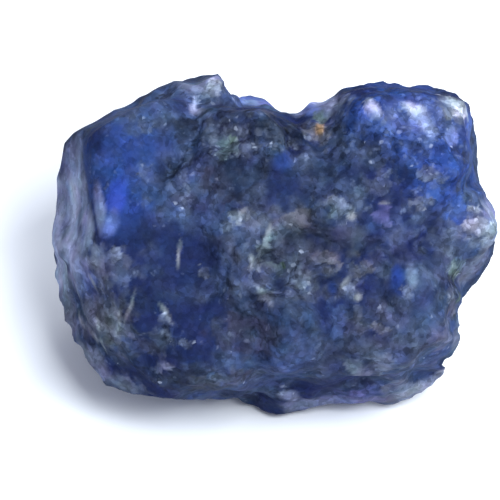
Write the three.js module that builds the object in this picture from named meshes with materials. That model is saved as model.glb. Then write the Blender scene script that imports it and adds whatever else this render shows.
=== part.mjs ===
// A rough sapphire: one lumpy, water-worn nugget of corundum that lies on a flat parting face.
// Millimetres, +Z up. The origin is on the table, under the middle of the stone.
//
// The stone is shaped in the frame of its broad face: x to the right along the length, y up the
// face and z out of it, with the origin at the heart of the stone. It is then tipped back until
// its base is level.

import * as THREE from "three";
import { mergeVertices } from "three/addons/utils/BufferGeometryUtils.js";

// ---------------------------------------------------------------- the whole stone

const LEAN = 40; // degrees that the broad face is tipped back from upright
const BASE_DEPTH = 5.25; // from the heart of the stone down to its flat base
const REACH = 12; // no part of the stone is this far from its heart
const SUBDIVISIONS = 22; // of each side of the icosahedron that is shaped into the stone

const JOIN = 0.4; // width over which neighbouring lumps run into each other
const EDGE = 0.15; // width over which the edges between flat faces are rounded

const WARP = 0.42; // how far the lumps are bent out of true
const WARP_LENGTH = 3.1; // distance over which the bending changes

const COLOUR = 0x24356e;
const ROUGHNESS = 0.4;

// The outline seen square on to the broad face, clockwise from the corner of the tab.
const OUTLINE = [
  [-2.2, 6.9], [-1.9, 6.4], [-1.8, 6.05], [-1.0, 6.05], [-0.2, 5.85], [0.1, 5.45],
  [0.7, 5.35], [1.0, 5.2], [1.5, 5.65], [2.2, 5.8], [2.9, 6.3], [3.5, 6.4], [4.1, 6.6],
  [4.9, 6.6], [5.5, 6.4], [6.5, 6.35], [7.3, 6.2], [7.8, 5.8], [8.1, 5.0], [8.2, 4.2],
  [8.35, 3.3], [8.4, 2.5], [8.7, 1.8], [8.95, 1.1], [9.0, 0.3], [8.85, -0.5], [8.3, -1.4],
  [7.7, -2.2], [7.45, -2.9], [7.6, -3.6], [7.4, -4.3], [6.85, -5.0], [6.85, -5.4],
  [6.4, -5.6], [5.9, -6.1], [5.1, -6.45], [3.9, -6.4], [2.7, -6.5], [1.3, -6.75],
  [0.3, -6.95], [-0.7, -6.65], [-1.5, -6.35], [-3.0, -6.3], [-4.6, -6.2], [-6.1, -5.85],
  [-7.1, -5.2], [-7.9, -4.1], [-8.4, -3.0], [-8.8, -1.6], [-9.0, 0.0], [-8.9, 1.1],
  [-8.75, 2.5], [-8.6, 3.6], [-8.2, 4.4], [-7.3, 4.85], [-6.5, 5.4], [-5.5, 5.85],
  [-4.6, 6.4], [-3.4, 6.8], [-2.9, 6.95],
];

// ---------------------------------------------------------------- lumps and faces

// The lumps that the stone is grown from: a centre, three half-lengths, a turn about z in degrees,
// how square it is (2 is an ellipsoid) and the flat faces that cut it, each as an outward
// direction and its distance from the lump's centre.
const LUMPS = {
  heart: {
    at: [-0.2, -0.1, -0.2],
    half: [7.8, 5.6, 5.2],
    turn: 0,
    square: 2.7,
    flats: [],
  },
  leftTop: {
    at: [-5.7, 2.2, 0.2],
    half: [3.3, 3.9, 4.9],
    turn: -8,
    square: 3,
    flats: [
      { facing: [-0.86, 0.1, 0.5], out: 3.0 }, // the tall side face
      { facing: [-0.22, 0.3, 0.93], out: 4.0 }, // the smooth front face
      { facing: [-0.46, 0.84, 0.3], out: 3.35 }, // the sloping shoulder
      { facing: [-0.3, 0.75, -0.6], out: 3.6 }, // the face behind the shoulder
    ],
  },
  leftFoot: {
    at: [-5.3, -2.4, -0.1],
    half: [3.7, 4.0, 5.0],
    turn: 6,
    square: 2.6,
    flats: [
      { facing: [-0.88, 0.02, 0.47], out: 3.3 }, // the side face carried on down
      { facing: [-0.5, -0.55, 0.67], out: 3.7 }, // the fluted lower corner
    ],
  },
  tab: {
    at: [-3.3, 5.4, 0.1],
    half: [1.8, 1.45, 2.2],
    turn: 12,
    square: 4.5,
    flats: [{ facing: [-0.2, 0.62, 0.76], out: 1.75 }],
  },
  crown: {
    at: [-1.6, 2.9, 1.3],
    half: [2.9, 2.7, 4.3],
    turn: -25,
    square: 2.3,
    flats: [
      { facing: [0.1, 0.62, 0.78], out: 3.3 },
      { facing: [0.35, -0.2, 0.92], out: 3.9 },
    ],
  },
  backKnob: {
    at: [-0.9, 4.75, -1.0],
    half: [1.4, 1.25, 1.7],
    turn: -10,
    square: 2.4,
    flats: [],
  },
  middle: {
    at: [2.1, 1.4, 1.5],
    half: [2.7, 2.5, 4.1],
    turn: 15,
    square: 2.3,
    flats: [{ facing: [-0.15, 0.45, 0.88], out: 3.5 }],
  },
  rightShoulder: {
    at: [5.0, 3.1, 0.4],
    half: [3.3, 3.4, 5.0],
    turn: -8,
    square: 2.6,
    flats: [
      { facing: [0.3, 0.5, 0.81], out: 4.1 },
      { facing: [0.93, 0.2, 0.3], out: 3.2 },
    ],
  },
  rightLobe: {
    at: [6.9, 0.3, 0.4],
    half: [2.1, 2.2, 4.2],
    turn: 8,
    square: 2.2,
    flats: [],
  },
  rightFace: {
    at: [4.9, 0.7, 1.1],
    half: [2.3, 2.3, 4.2],
    turn: 0,
    square: 2.3,
    flats: [],
  },
  rightMiddle: {
    at: [5.4, -1.8, 1.0],
    half: [2.5, 2.4, 4.4],
    turn: -20,
    square: 2.3,
    flats: [{ facing: [0.6, -0.3, 0.74], out: 3.3 }],
  },
  lowMiddle: {
    at: [0.7, -2.9, 1.3],
    half: [2.6, 2.6, 4.3],
    turn: 10,
    square: 2.2,
    flats: [],
  },
  lowLeft: {
    at: [-2.7, -3.7, 1.0],
    half: [2.9, 2.5, 4.2],
    turn: -8,
    square: 2.3,
    flats: [],
  },
  nose: {
    at: [3.7, -3.9, 1.6],
    half: [2.5, 1.7, 3.8],
    turn: 12,
    square: 2.3,
    flats: [{ facing: [0.1, -0.45, 0.89], out: 3.2 }],
  },
  shelf: {
    at: [2.9, -5.0, -1.2],
    half: [4.2, 1.9, 2.7],
    turn: 5,
    square: 2.4,
    flats: [],
  },
  backHump: {
    at: [2.4, 0.8, -3.0],
    half: [4.6, 4.2, 3.4],
    turn: 20,
    square: 2.5,
    flats: [
      { facing: [0.3, 0.5, -0.81], out: 2.9 },
      { facing: [-0.5, 0.3, -0.81], out: 3.0 },
    ],
  },
  backLedge: {
    at: [-3.6, 1.6, -3.2],
    half: [3.4, 3.6, 2.3],
    turn: 15,
    square: 2.8,
    flats: [{ facing: [-0.2, 0.55, -0.81], out: 2.0 }],
  },
};

// Bowls broken or worn out of the surface: a centre and three half-lengths.
const SCOOPS = {
  topSaddle: { at: [0.9, 7.0, 1.4], half: [1.5, 1.9, 4.0] },
  underCut: { at: [3.6, -7.2, 3.7], half: [4.9, 1.7, 3.4] },
  rightNotch: { at: [9.3, -3.0, 1.4], half: [1.8, 1.3, 4.0] },
  backHollow: { at: [-0.4, 1.5, -7.0], half: [2.2, 2.0, 1.7] },
};

// Flat parting faces that cut the whole stone below and behind: outward direction and distance
// from the heart of the stone.
const PARTINGS = {
  leftUnderside: { facing: [-0.52, -0.56, -0.64], out: 6.0 },
  rightUnderside: { facing: [0.66, -0.34, -0.67], out: 5.9 },
  back: { facing: [0.2, 0.2, -0.96], out: 5.1 },
  backLeft: { facing: [-0.62, 0.42, -0.66], out: 6.3 },
  backRight: { facing: [0.52, 0.62, -0.59], out: 6.6 },
};

// ---------------------------------------------------------------- the skin

// Smaller forms of the broad face, each an oval patch that stands out from it, or is sunk where
// the height is negative: centre, half-length, half-width, turn in degrees and height.
const FACE_FORMS = [
  // the bowl in the middle and the worn ridges that curl round it
  { x: -0.05, y: -0.85, long: 1.3, wide: 1.2, turn: 0, height: -0.8 },
  { x: -1.15, y: -0.7, long: 1.4, wide: 0.5, turn: 80, height: 0.45 },
  { x: -1.35, y: 0.9, long: 1.4, wide: 0.55, turn: -35, height: 0.45 },
  { x: 0.1, y: -2.3, long: 1.3, wide: 0.5, turn: -30, height: 0.45 },
  // the narrower hollow to its right, between two worn ridges
  { x: 1.9, y: 0.2, long: 1.6, wide: 0.85, turn: 10, height: -0.45 },
  { x: 2.6, y: 1.45, long: 1.1, wide: 0.6, turn: -10, height: 0.25 },
  { x: 2.2, y: -1.15, long: 1.4, wide: 0.65, turn: -15, height: 0.4 },
  // the smooth shallow window left of the bowl
  { x: -3.25, y: -0.75, long: 1.9, wide: 1.7, turn: 0, height: -0.5 },
  // pits of the rough crown
  { x: -2.1, y: 4.0, long: 0.8, wide: 0.6, turn: 20, height: -0.4 },
  { x: -0.6, y: 2.9, long: 0.7, wide: 0.6, turn: 60, height: -0.4 },
  { x: 0.8, y: 3.9, long: 0.7, wide: 0.55, turn: -20, height: -0.35 },
  { x: -2.9, y: 2.0, long: 0.9, wide: 0.6, turn: 30, height: -0.3 },
  // the groove that parts the left block from the crown
  { x: -4.2, y: 3.5, long: 2.3, wide: 0.45, turn: 82, height: -0.4 },
  // the groove that parts the right shoulder from the crown
  { x: 1.7, y: 4.1, long: 2.0, wide: 0.5, turn: -50, height: -0.5 },
  // a dome, a curved blade and a small knob on the right shoulder
  { x: 5.2, y: 3.5, long: 1.3, wide: 1.1, turn: 0, height: 0.35 },
  { x: 5.9, y: 5.0, long: 1.2, wide: 0.45, turn: -45, height: 0.35 },
  { x: 3.95, y: 5.3, long: 0.6, wide: 0.45, turn: -30, height: 0.25 },
  // the right lobe with its grooves above and below
  { x: 7.9, y: 0.6, long: 1.2, wide: 1.0, turn: 70, height: 0.3 },
  { x: 7.3, y: 2.4, long: 1.7, wide: 0.4, turn: 10, height: -0.45 },
  { x: 7.0, y: -1.3, long: 1.5, wide: 0.4, turn: -25, height: -0.4 },
  // knobs and facets below it
  { x: 5.2, y: -0.9, long: 1.1, wide: 0.8, turn: 80, height: 0.4 },
  { x: 2.75, y: -3.2, long: 1.2, wide: 0.5, turn: 85, height: -0.2 },
  { x: 4.3, y: -3.4, long: 0.9, wide: 0.65, turn: 10, height: 0.3 },
  { x: -4.4, y: -4.7, long: 0.65, wide: 0.65, turn: 0, height: 0.25 },
  // flutes of the lower left corner
  { x: -7.6, y: -1.8, long: 2.0, wide: 0.35, turn: -72, height: 0.35 },
  { x: -7.0, y: -3.3, long: 2.1, wide: 0.35, turn: -60, height: 0.4 },
  { x: -6.0, y: -3.9, long: 2.0, wide: 0.4, turn: -55, height: 0.4 },
  { x: -5.3, y: -2.9, long: 1.8, wide: 0.35, turn: -50, height: 0.35 },
  // the crease between the nose and the shelf under it
  { x: 0.9, y: -5.7, long: 1.9, wide: 0.4, turn: -6, height: -0.5 },
  { x: 3.8, y: -5.75, long: 1.9, wide: 0.4, turn: 6, height: -0.6 },
  { x: 6.1, y: -5.0, long: 1.4, wide: 0.4, turn: 28, height: -0.5 },
];
const FACE_FROM = 0; // the z from which the forms of the face come in
const FACE_FULL = 2; // and the z where they have their whole height

// Shallow chips over the whole skin, in two sizes: width of a chip and depth of its hollow.
const CHIPS = [
  { size: 2.3, height: 0.75, seed: 40 },
  { size: 1.15, height: 0.5, seed: 60 },
];
const CHIP_SINK = 0.25; // sets the chipped skin level with the lumps
const CHIP_TILT = 1.4; // how much each chip leans
const CHIP_STEP = 0.5; // how much neighbouring chips differ in depth

const SMOOTH_SIDE = 0.7; // share by which the glassy left side has less of the chips
const SMOOTH_X = [-3, -8]; // the glassy side comes in over this stretch of x
const SMOOTH_Z = [-2, 2]; // and over this stretch of z
const TAB_CLEAR = [1.2, 2.6]; // distances from the tab over which the chips come in

// ---------------------------------------------------------------- small mathematics

const { degToRad, lerp, smoothstep } = THREE.MathUtils;
const Z_AXIS = new THREE.Vector3(0, 0, 1);
const HASH = [374761393, 668265263, 1274126177, 974634777, 2246822519, 3266489917];
const SMALLEST = 1e-4; // corners closer than this are one

// The smaller and the larger of two distances, rounded over where they are nearly equal.
function smoothMin(a, b, width) {
  const near = Math.max(width - Math.abs(a - b), 0) / width;
  return Math.min(a, b) - (near * near * width) / 4;
}

function smoothMax(a, b, width) {
  return -smoothMin(-a, -b, width);
}

// How far a value has come from the first to the second end of a stretch, from 0 to 1.
function come(value, [from, to]) {
  return smoothstep((value - from) / (to - from), 0, 1);
}

// A repeatable random number from 0 to 1 for a cell of a grid.
function randomOf(x, y, z, seed) {
  let h = Math.imul(x, HASH[0]) + Math.imul(y, HASH[1]) + Math.imul(z, HASH[2]);
  h = Math.imul(h + Math.imul(seed, HASH[3]), HASH[0]);
  h = Math.imul(h ^ (h >>> 15), HASH[4]);
  h = Math.imul(h ^ (h >>> 13), HASH[5]);
  return ((h ^ (h >>> 16)) >>> 0) / 2 ** 32;
}

// Smooth noise from -1 to 1 that changes over about one unit.
function noise(p, seed) {
  const cell = p.clone().floor();
  const [u, v, w] = p.clone().sub(cell).toArray().map((t) => smoothstep(t, 0, 1));
  const at = (i, j, k) => randomOf(cell.x + i, cell.y + j, cell.z + k, seed);
  const along = (j, k) => lerp(at(0, j, k), at(1, j, k), u);
  const across = (k) => lerp(along(0, k), along(1, k), v);
  return 2 * lerp(across(0), across(1), w) - 1;
}

// One shallow hollow round a random point of each cell of a grid. The lowest of them near a point
// is the surface there, so that sharp ridges stand between the hollows.
function hollows(p, seed) {
  const cell = p.clone().floor();
  const away = new THREE.Vector3();
  const tilt = new THREE.Vector3();
  let lowest = Infinity;
  for (let x = cell.x - 1; x <= cell.x + 1; x++) {
    for (let y = cell.y - 1; y <= cell.y + 1; y++) {
      for (let z = cell.z - 1; z <= cell.z + 1; z++) {
        const random = (n) => randomOf(x, y, z, seed + n);
        away.set(x + random(0), y + random(1), z + random(2)).sub(p);
        tilt.set(random(3), random(4), random(5)).subScalar(0.5);
        const height = CHIP_STEP * random(6) + CHIP_TILT * tilt.dot(away) + away.lengthSq();
        lowest = Math.min(lowest, height);
      }
    }
  }
  return lowest;
}

// ---------------------------------------------------------------- the stone as a field of distances

function readiedFlat({ facing, out }) {
  return { facing: new THREE.Vector3(...facing).normalize(), out };
}

// A lump or scoop, ready to be measured: its vectors made once.
function readied({ at, half, turn = 0, square = 2, flats = [] }) {
  return {
    at: new THREE.Vector3(...at),
    half: new THREE.Vector3(...half),
    least: Math.min(...half),
    turnBack: -degToRad(turn),
    square,
    flats: flats.map(readiedFlat),
  };
}

const lumps = Object.values(LUMPS).map(readied);
const scoops = Object.values(SCOOPS).map(readied);
const partings = Object.values(PARTINGS).map(readiedFlat);
const tab = readied(LUMPS.tab);

// Roughly how far a point is outside a form. It is negative inside.
function outsideOf({ at, half, least, turnBack, square, flats }, p) {
  const local = p.clone().sub(at);
  const q = local.clone().applyAxisAngle(Z_AXIS, turnBack).divide(half);
  const power = (x) => Math.abs(x) ** square;
  let distance = ((power(q.x) + power(q.y) + power(q.z)) ** (1 / square) - 1) * least;
  for (const { facing, out } of flats) {
    distance = smoothMax(distance, facing.dot(local) - out, EDGE);
  }
  return distance;
}

// Roughly how far a point is outside the lumps of the stone, without its skin.
function outsideStone(point) {
  const q = point.clone().divideScalar(WARP_LENGTH);
  const p = new THREE.Vector3(noise(q, 11), noise(q, 12), noise(q, 13));
  p.multiplyScalar(WARP).add(point);
  let distance = Infinity;
  for (const lump of lumps) distance = smoothMin(distance, outsideOf(lump, p), JOIN);
  for (const scoop of scoops) distance = smoothMax(distance, -outsideOf(scoop, p), JOIN);
  for (const { facing, out } of partings) {
    distance = smoothMax(distance, facing.dot(p) - out, EDGE);
  }
  return distance;
}

// How far the smaller forms of the broad face stand out at a point.
function faceForms(p) {
  let height = 0;
  for (const form of FACE_FORMS) {
    const turn = degToRad(form.turn);
    const [dx, dy] = [p.x - form.x, p.y - form.y];
    const along = (dx * Math.cos(turn) + dy * Math.sin(turn)) / form.long;
    const across = (dy * Math.cos(turn) - dx * Math.sin(turn)) / form.wide;
    const share = Math.max(1 - along * along - across * across, 0);
    height += form.height * share ** 1.5;
  }
  return height * come(p.z, [FACE_FROM, FACE_FULL]);
}

// How far the chipped skin stands out at a point.
function chips(p) {
  let height = -CHIP_SINK;
  for (const chip of CHIPS) {
    height += chip.height * hollows(p.clone().divideScalar(chip.size), chip.seed);
  }
  const smooth = SMOOTH_SIDE * come(p.x, SMOOTH_X) * come(p.z, SMOOTH_Z);
  return height * (1 - smooth) * come(p.distanceTo(tab.at), TAB_CLEAR);
}

// Where a ray from the heart of the stone leaves it for the last time.
function surfaceAlong(direction) {
  const isInside = (t) => outsideStone(direction.clone().multiplyScalar(t)) < 0;
  const stride = REACH / 100;
  let out = REACH;
  while (out > stride && !isInside(out - stride)) out -= stride;
  let inner = out - stride;
  for (let halving = 0; halving < 10; halving++) {
    const middle = (inner + out) / 2;
    if (isInside(middle)) inner = middle;
    else out = middle;
  }
  const point = direction.clone().multiplyScalar(out);
  return point.addScaledVector(direction, chips(point) + faceForms(point));
}

// ---------------------------------------------------------------- fitting the outline

const SECTORS = 360;
const FIT_FROM = 0.6; // share of the way out from the middle where the fitting comes in
const EVEN_SECTORS = 9; // to each side, over which the fitting is evened out
const EVEN_Z = [1.5, 3.5]; // distances before and behind the waist over which it is evened out
const LIMB_TIP = 40; // the widest part of the stone is less than this many degrees off its waist
const LIMB_TIP_STEP = 4;

function sectorOf(x, y) {
  return ((Math.atan2(y, x) / (2 * Math.PI)) * SECTORS + SECTORS) % SECTORS;
}

// A closed run of values, one for each sector, read between them.
function read(values, sector) {
  const i = Math.floor(sector) % SECTORS;
  return lerp(values[i], values[(i + 1) % SECTORS], sector - Math.floor(sector));
}

// The outline's distance from the middle in each sector.
function outlineReach() {
  const points = OUTLINE.map(([x, y]) => new THREE.Vector3(x, y, 0));
  const curve = new THREE.CatmullRomCurve3(points, true, "centripetal");
  const reach = new Array(SECTORS).fill(0);
  for (const { x, y } of curve.getPoints(SECTORS * 8)) {
    const i = Math.round(sectorOf(x, y)) % SECTORS;
    reach[i] = Math.max(reach[i], Math.hypot(x, y));
  }
  return reach;
}

// How far the unfitted stone reaches in each sector, measured square to z.
function stoneReach() {
  return Array.from({ length: SECTORS }, (_, i) => {
    const turn = (i / SECTORS) * 2 * Math.PI;
    let most = 0;
    for (let tip = -LIMB_TIP; tip <= LIMB_TIP; tip += LIMB_TIP_STEP) {
      const ray = new THREE.Vector3(Math.cos(turn), Math.sin(turn), Math.tan(degToRad(tip)));
      const { x, y } = surfaceAlong(ray.normalize());
      most = Math.max(most, Math.hypot(x, y));
    }
    return most;
  });
}

// How far the stone reaches in each sector, the scale that brings it to the outline there, and
// that scale evened out over the sectors around.
function fitting() {
  const wanted = outlineReach();
  const found = stoneReach();
  const sharp = wanted.map((reach, i) => reach / found[i]);
  const even = sharp.map((_, i) => {
    let sum = 0;
    for (let j = i - EVEN_SECTORS; j <= i + EVEN_SECTORS; j++) sum += sharp.at(j % SECTORS);
    return sum / (2 * EVEN_SECTORS + 1);
  });
  return { found, sharp, even };
}

// Moves a point in or out, square to z, so that the widest part of the stone meets the outline.
function fitted({ x, y, z }, { found, sharp, even }) {
  const sector = sectorOf(x, y);
  const full = lerp(read(sharp, sector), read(even, sector), come(Math.abs(z), EVEN_Z));
  const scale = lerp(1, full, come(Math.hypot(x, y) / read(found, sector), [FIT_FROM, 1]));
  return new THREE.Vector3(x * scale, y * scale, z);
}

// ---------------------------------------------------------------- the solid

function stoneGeometry() {
  const ball = new THREE.IcosahedronGeometry(1, SUBDIVISIONS - 1);
  ball.deleteAttribute("normal");
  ball.deleteAttribute("uv");
  const geometry = mergeVertices(ball, SMALLEST);
  const corners = geometry.getAttribute("position");
  const fit = fitting();
  const lean = degToRad(LEAN);
  const down = new THREE.Vector3(0, -Math.sin(lean), -Math.cos(lean));
  const direction = new THREE.Vector3();
  for (let i = 0; i < corners.count; i++) {
    direction.fromBufferAttribute(corners, i).normalize();
    const p = fitted(surfaceAlong(direction), fit);
    const depth = p.dot(down);
    if (depth > BASE_DEPTH) p.multiplyScalar(BASE_DEPTH / depth);
    corners.setXYZ(i, p.x, p.y, p.z);
  }
  return geometry;
}

function sapphire() {
  const geometry = stoneGeometry();
  geometry.rotateX(degToRad(LEAN));
  geometry.computeBoundingBox();
  const { min, max } = geometry.boundingBox;
  geometry.translate(-(min.x + max.x) / 2, -(min.y + max.y) / 2, -min.z);
  geometry.computeVertexNormals();
  const material = new THREE.MeshStandardMaterial({ color: COLOUR, roughness: ROUGHNESS });
  const mesh = new THREE.Mesh(geometry, material);
  mesh.name = "sapphire";
  return mesh;
}

const part = new THREE.Group();
part.add(sapphire());

export default part;
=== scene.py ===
"""The looks of a rough sapphire: a lumpy, water-worn nugget that rests on a flat face.

Blender works in metres. The stone is worked on in millimetres, in the frame of its broad face:
x to the right along the length, y up the face and z out of it, from the heart of the stone. That
frame is leant back over the base, as the solid is.
"""

import math
from itertools import product

import bpy
import numpy as np
from mathutils import Matrix, Vector


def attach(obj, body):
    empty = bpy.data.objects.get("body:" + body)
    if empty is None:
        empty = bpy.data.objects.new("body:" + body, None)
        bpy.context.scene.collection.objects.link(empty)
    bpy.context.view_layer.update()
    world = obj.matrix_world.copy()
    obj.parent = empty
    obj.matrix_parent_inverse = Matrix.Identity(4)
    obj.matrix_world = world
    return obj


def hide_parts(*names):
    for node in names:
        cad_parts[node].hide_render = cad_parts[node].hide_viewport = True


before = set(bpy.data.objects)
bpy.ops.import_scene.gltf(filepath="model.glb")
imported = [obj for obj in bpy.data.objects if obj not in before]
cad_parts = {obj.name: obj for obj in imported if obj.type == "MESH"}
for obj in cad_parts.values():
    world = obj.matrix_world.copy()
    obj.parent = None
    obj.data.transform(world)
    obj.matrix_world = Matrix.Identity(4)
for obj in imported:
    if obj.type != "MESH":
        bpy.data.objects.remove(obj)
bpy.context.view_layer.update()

# ---------------------------------------------------------------- sizes of the stone and its skin

MM = 0.001  # m
X, Y, Z = range(3)  # the axes
HEART = np.array([0.003, 0.169, 5.25])  # mm, the heart of the stone in the row frame
LEAN = math.radians(40)  # the broad face leans back by this much
OUT = (0, -math.sin(LEAN), math.cos(LEAN))  # out of the broad face, in the row frame

VOXEL = 0.107  # mm, the spacing of the fine mesh
SMOOTHING = 3  # passes that take the steps of the voxels out

# Regions of the stone: along which axis, where each starts and where it is full, in mm.
FRONT = ((Z, -2.5, -0.5),)
WINDOW_FRONT = ((Z, 0, 2),)
GLASSY_SIDE = ((X, -4.2, -6.4), (Z, -4, -1), (Y, -2.6, -1.2))
GLASSY_RIM = ((X, -2.6, -4.2), (Y, 3.4, 4.6))
FLUTED_SIDE = ((X, -3.6, -5.6), (Y, -0.6, -2.6), (Z, -2, 1))
STREAKED_SIDE = ((Z, -4.5, -2.2), (X, -5.6, -7.2), (Y, -3, -1))
CALM_SIDES = ((Z, -4, -2),)

WINDOW_MIDDLE = (-3.5, -0.7)  # mm, of the smooth navy window
WINDOW_RADII = (2.2, 1.2)  # mm, where it starts and where it is full
STEEP = (0.6, 0.1)  # how far steep skin faces out of the broad face, where it starts and is full
FOOT = (0.02, 0.4)  # mm above the floor, where the fine skin starts and is full

# How much of the fine skin is missing where the stone is smoother.
GLASSY_LOSS = 0.8
WINDOW_LOSS = 0.64
FLUTED_LOSS = 0.4
CALM_LOSS = 0.4

CHIP_RAMP = 0.18  # the ramps that join flat chips, in chip sizes
CHIP_STEP = 0.25  # how much the heights of the chips differ, in chip sizes
PIT_RADII = (0.42, 0.1)  # the rim and the floor of a pit, in the size of its cell
PITTED = 0.35  # the share of cells with a pit
FLUTE_HEIGHT = 0.07  # mm
FLUTES = (-62, 1.8, 0.36)  # their turn in degrees, and their length and width in mm
STREAKS = (84, 2.4, 0.5)  # the same three for the blue streaks of the glassy side

LAYERED_REACH = 1.3  # about how far the summed layers of noise reach
CORNERS = list(product((0, 1), repeat=3))  # of a cell of a grid
NEIGHBOURS = list(product((-1, 0, 1), repeat=3))  # the cells round it, and the cell itself
# Large odd numbers, and shifts in bits, that scramble a cell and a seed to a random number.
CELL_KEYS = np.array([374761393, 668265263, 1274126177], np.uint32)
SEED_KEY = 974634777
MIX_KEYS = np.array([2246822519, 3266489917, 668265263], np.uint32)
MIX_SHIFTS = (15, 13, 16)

# ---------------------------------------------------------------- the edges of the patches

BEND = (0.15, 0.8)  # mm, how far and over what size the noise bends an edge
CHIP = 0.36  # mm, the crystals that the edges of crushed patches follow
GLASSY = 0.2  # tones that are crushed less than this are glassy, with soft edges
SLACK = 0.5  # mm, how far behind its foremost skin a patch is still at its full strength
DEPTH = 0.9  # mm, how much farther back a patch ends
DEPTH_GAIN = 1.5  # and how much more for each mm of its half-length

# ---------------------------------------------------------------- the crystal

IOR = 1.77  # of corundum
SPECULAR = 0.01  # kept low: mirrored white light would veil the blue
ABSORPTION = {"Color": (0.1, 0.22, 0.85, 1), "Density": 400}  # a density per metre
BUMP = 0.55  # how strongly the tops of the crystals show in the light
SATIN = 0.6  # the roughness where the stone is glassy
DULL = 0.8  # and where it is crushed
CHIP_GLOSS = 0.3  # how much less rough the chips with painted glints are

EXPOSURE = np.array([0.92, 1.0, 1.2])  # the light shows red, green and blue this much brighter
CRUMB = (88, 96, 112)  # what crushed crystal adds to a tone
PAINTED_GLINT = (116, 120, 128)  # the painted glint that a chip adds to its tone
# Crystals of each size in mm: how much they count in the crumbs, how much their shades differ and
# how bright the glints painted on their chips are.
CRYSTALS = {0.66: (0.5, 0.18, 0), 0.38: (0.6, 0.28, 0.25), 0.2: (0.5, 0.38, 0.9)}
TILT = 0.9  # how steeply the tops of the crystals tilt
WOBBLE = 0.22  # mm, how far noise pushes the crystals' sides
CLOUD_SHADES = (0.79, 1.21)  # how dark and how light the clouds are
HUE_DRIFT = (0.5, 0.4, 0.3)  # how far red, green and blue drift
HUE_START = (0.75, 0.8, 0.85)  # and where they drift from

# ---------------------------------------------------------------- studio and camera

# The area lights: place and size in mm, and power in watts.
LIGHTS = {"key": ((38, -48, 111), 60, 0.215), "back": ((64, 88, 80), 90, 0.1)}
LIGHT_TARGET = Vector((0, 0, 5))  # mm
LIGHT_COLOUR = (0.88, 0.95, 1)
SKY_COLOUR = (0.78, 0.84, 1, 1)
SKY_STRENGTH = 0.59
PAPER_COLOUR = (0.94, 0.94, 0.96, 1)
FLOOR = 1.2  # m, its side

VIEW_ELEVATION = math.radians(50)
FRAME_PIXELS = 500
MM_PER_PIXEL = 0.0407
HEART_PIXEL = (273, 244)  # where the photo shows the heart of the stone
LENS = 400  # mm, long enough to flatten the perspective
SENSOR = 36  # mm

# ---------------------------------------------------------------- tones and places

# Each tone of the stone: its colour, red, green and blue from 0 to 255, how clear it is, and how
# much of it is crushed to pale crumbs. The glow and the sheen tones are painted light, not tones
# of the stone.
PALETTE = {
    "navy": ((22, 34, 78), 0.05, 0.1),
    "royal": ((32, 54, 118), 0.05, 0.05),
    # painted glow: the blue of light that comes through the crystal
    "painted_glow": ((38, 62, 160), 0.1, 0),
    "azure": ((36, 60, 128), 0, 0.45),
    "steel": ((48, 64, 108), 0, 0.25),
    "slate": ((40, 52, 84), 0, 0.35),
    "dusk": ((26, 34, 60), 0, 0.25),
    "grit": ((18, 24, 36), 0, 0.9),
    "ash": ((64, 76, 106), 0, 0.7),
    "mist": ((90, 100, 130), 0, 0.25),
    "chalk": ((92, 104, 124), 0, 0.7),
    "milk": ((128, 140, 160), 0, 0.1),
    "haze": ((66, 73, 94), 0, 0.4),
    "dull": ((58, 68, 96), 0, 0.12),
    "pale": ((164, 176, 206), 0, 0.5),
    "lavender": ((126, 140, 186), 0, 0),
    # painted sheen and highlights: light that the glassy skin reflects
    "painted_sheen": ((148, 164, 208), 0, 0.05),
    "green": ((64, 84, 94), 0, 0.6),
    "moss": ((66, 84, 74), 0, 0.45),
    "periwinkle": ((84, 102, 176), 0.05, 0.1),
    "violet": ((84, 88, 148), 0.05, 0.2),
    "brown": ((74, 78, 98), 0, 0.6),
    "orange": ((156, 132, 96), 0, 0.15),
    "fibre": ((112, 122, 142), 0, 0.1),
    "mauve": ((48, 52, 82), 0, 0.3),
    # glint: crushed so far that many of its chips get painted glints
    "glint": ((58, 68, 94), 0, 1.6),
}

# Small forms that the solid rounds off, each an oval patch of the broad face that is pushed out of
# place, in mm: centre x and y, half-length, half-width, turn in degrees, and the push along x, y
# and z.
FORMS = [
    (-5.6, 4.5, 3.0, 0.9, 27, (-0.17, 0.34, 0)),  # the face of the left block, out to its rim
    (4.4, 5.5, 3.2, 0.9, 0, (0, 0.36, 0)),  # the same for the right shoulder
    (6.9, 3.9, 2.2, 0.9, 90, (0.3, 0, 0)),  # and for its right side
    (7.6, 6.3, 0.8, 0.6, -35, (-0.12, -0.22, 0)),  # its corner, rounded
    (-3.0, 6.2, 1.5, 0.8, 12, (0, 0, 0.8)),  # the blocky tab
    (-3.2, 6.9, 1.6, 0.6, 10, (0, 0.16, 0)),  # its top edge
    (-1.7, 6.35, 0.4, 0.5, 0, (-0.17, 0, 0)),  # its upright right wall
    (-1.4, 5.85, 0.4, 0.3, 0, (0, 0.15, 0)),  # the foot of that wall
    (2.1, 5.9, 0.7, 0.5, 30, (0.06, -0.1, 0)),  # the foot of the shoulder, drawn in
    (4.4, 6.7, 0.6, 0.4, 0, (0, -0.1, 0)),  # and two bumps on its top
    (6.7, 6.3, 0.5, 0.4, 0, (0, -0.1, 0)),
    (6.2, -5.8, 0.5, 0.4, 40, (0.08, -0.1, 0)),  # the lower right edge, drawn out
    (6.8, -5.2, 0.35, 0.35, 0, (0.06, 0.03, 0)),  # the bead at the lower right
    (7.0, -4.75, 0.4, 0.3, 0, (-0.22, 0, 0)),  # and the nick above it
    (7.6, -3.0, 0.9, 0.9, 0, (-0.24, 0, 0)),  # the flank above that
    (1.6, -0.1, 1.9, 1.0, -8, (0, 0, -0.4)),  # the bowl
    (-0.5, -0.2, 1.4, 0.4, 60, (0, 0, 0.15)),  # and the worn ridge beside it
]
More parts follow.
